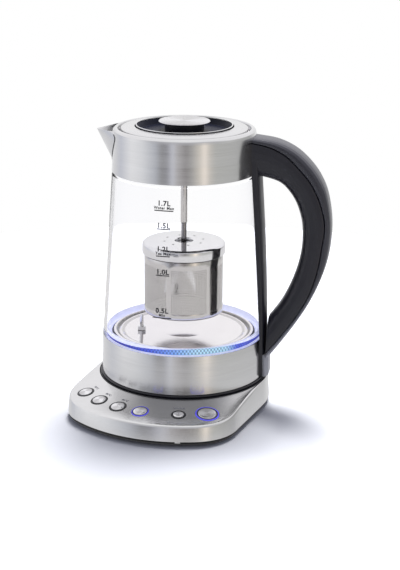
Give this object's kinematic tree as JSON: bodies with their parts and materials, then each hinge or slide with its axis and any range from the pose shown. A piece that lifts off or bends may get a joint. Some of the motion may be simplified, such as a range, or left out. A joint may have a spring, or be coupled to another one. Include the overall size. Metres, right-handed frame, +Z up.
{
  "type": "automatic tea maker",
  "caption": "Glass electric kettle on a powered steel base with push buttons; a tea infuser hangs from a knob in its lid and can be raised out of the water.",
  "frame": {"origin": "on the table under the kettle's axis, at the underside of the base's middle foot", "axes": "+Z up along the kettle's axis; the sloping button panel faces -Y, so the cord gland faces +Y; the kettle stands turned so that its handle points 13.8 degrees from +X towards +Y"},
  "size_m": [0.206, 0.2006, 0.256],
  "materials": {
    "brushed_steel": "fine brushed stainless steel",
    "polished_steel": "polished stainless steel",
    "black_plastic": "black satin moulded plastic",
    "cover_plastic": "dark blue-grey satin moulded plastic",
    "clear_glass": "clear borosilicate glass",
    "silicone": "pale food-safe silicone",
    "dark_rubber": "dark rubber",
    "light_plastic": "translucent plastic lit blue from below",
    "dark_ring": "dark ring, unlit",
    "board": "green circuit board"
  },
  "bodies": {
    "base": {"base_cover": "brushed_steel", "base_tray": "black_plastic", "kettle_seat": "black_plastic", "connector_post": "black_plastic", "control_board": "board", "cord_gland": "dark_rubber", "foot_front_left": "dark_rubber", "foot_front_right": "dark_rubber", "foot_back_left": "dark_rubber", "foot_back_right": "dark_rubber", "foot_centre": "dark_rubber", "base_screw_1": "brushed_steel", "base_screw_2": "brushed_steel", "base_screw_3": "brushed_steel", "temp_ring_1": "dark_ring", "temp_ring_2": "dark_ring", "temp_ring_3": "dark_ring", "temp_ring_4": "light_plastic", "keep_warm_ring": "dark_ring", "power_ring": "light_plastic"},
    "coupler": {"kettle_coupler": "black_plastic"},
    "kettle": {"lower_band": "brushed_steel", "bottom_collar": "black_plastic", "control_unit": "black_plastic", "led_carrier": "black_plastic", "led_board": "board", "light_ring": "light_plastic", "plate_seal": "silicone", "heating_plate": "polished_steel", "heating_element": "brushed_steel", "probe_stem": "polished_steel", "probe_nut": "polished_steel", "glass_body": "clear_glass", "upper_seal": "silicone", "upper_band": "brushed_steel", "beak": "brushed_steel", "handle_spine": "black_plastic", "handle_shell": "black_plastic", "handle_cover": "cover_plastic"},
    "lid": {"lid_ring": "brushed_steel", "lid_trim": "polished_steel", "lid_insert": "black_plastic", "lid_plug": "black_plastic", "lid_seal": "silicone", "guide_bush": "silicone"},
    "lifter": {"knob_hub": "black_plastic", "knob_disc": "polished_steel", "lift_tube": "polished_steel", "lift_rod": "polished_steel", "basket_lid": "polished_steel"},
    "basket": {"basket_frame": "polished_steel", "basket_mesh": "polished_steel", "basket_floor": "polished_steel"},
    "button_1": {"temp_button_1": "brushed_steel"},
    "button_2": {"temp_button_2": "brushed_steel"},
    "button_3": {"temp_button_3": "brushed_steel"},
    "button_4": {"temp_button_4": "brushed_steel"},
    "keep_warm": {"keep_warm_button": "brushed_steel"},
    "power": {"power_button": "brushed_steel"}
  },
  "joints": [
    {"name": "kettle_lift", "type": "slide", "parent": "base", "child": "coupler", "axis": [0, 0, 1], "range_m": [0, 0.06]},
    {"name": "kettle_turn", "type": "hinge", "parent": "coupler", "child": "kettle", "pos_m": [0, 0, 0.034], "axis": [0, 0, 1], "continuous": true},
    {"name": "lid_lift", "type": "slide", "parent": "kettle", "child": "lid", "axis": [0, 0, 1], "range_m": [0, 0.175]},
    {"name": "infuser_lift", "type": "slide", "parent": "lid", "child": "lifter", "axis": [0, 0, 1], "range_m": [0, 0.07]},
    {"name": "basket_pull", "type": "slide", "parent": "lifter", "child": "basket", "axis": [0, 0, -1], "range_m": [0, 0.01]},
    {"name": "temp_button_1_press", "type": "slide", "parent": "base", "child": "button_1", "axis": [0.1254, 0.1658, -0.9782], "range_m": [0, 0.0008], "stiffness_N_per_m": 600, "springref_m": -0.0005},
    {"name": "temp_button_2_press", "type": "slide", "parent": "base", "child": "button_2", "axis": [0.0849, 0.1898, -0.9781], "range_m": [0, 0.0008], "stiffness_N_per_m": 600, "springref_m": -0.0005},
    {"name": "temp_button_3_press", "type": "slide", "parent": "base", "child": "button_3", "axis": [0.0397, 0.2041, -0.9781], "range_m": [0, 0.0008], "stiffness_N_per_m": 600, "springref_m": -0.0005},
    {"name": "temp_button_4_press", "type": "slide", "parent": "base", "child": "button_4", "axis": [-0.0069, 0.2078, -0.9781], "range_m": [0, 0.0008], "stiffness_N_per_m": 600, "springref_m": -0.0005},
    {"name": "keep_warm_press", "type": "slide", "parent": "base", "child": "keep_warm", "axis": [-0.0762, 0.1934, -0.9782], "range_m": [0, 0.0008], "stiffness_N_per_m": 600, "springref_m": -0.0005},
    {"name": "power_press", "type": "slide", "parent": "base", "child": "power", "axis": [-0.1216, 0.1686, -0.9782], "range_m": [0, 0.0008], "stiffness_N_per_m": 600, "springref_m": -0.0005}
  ]
}
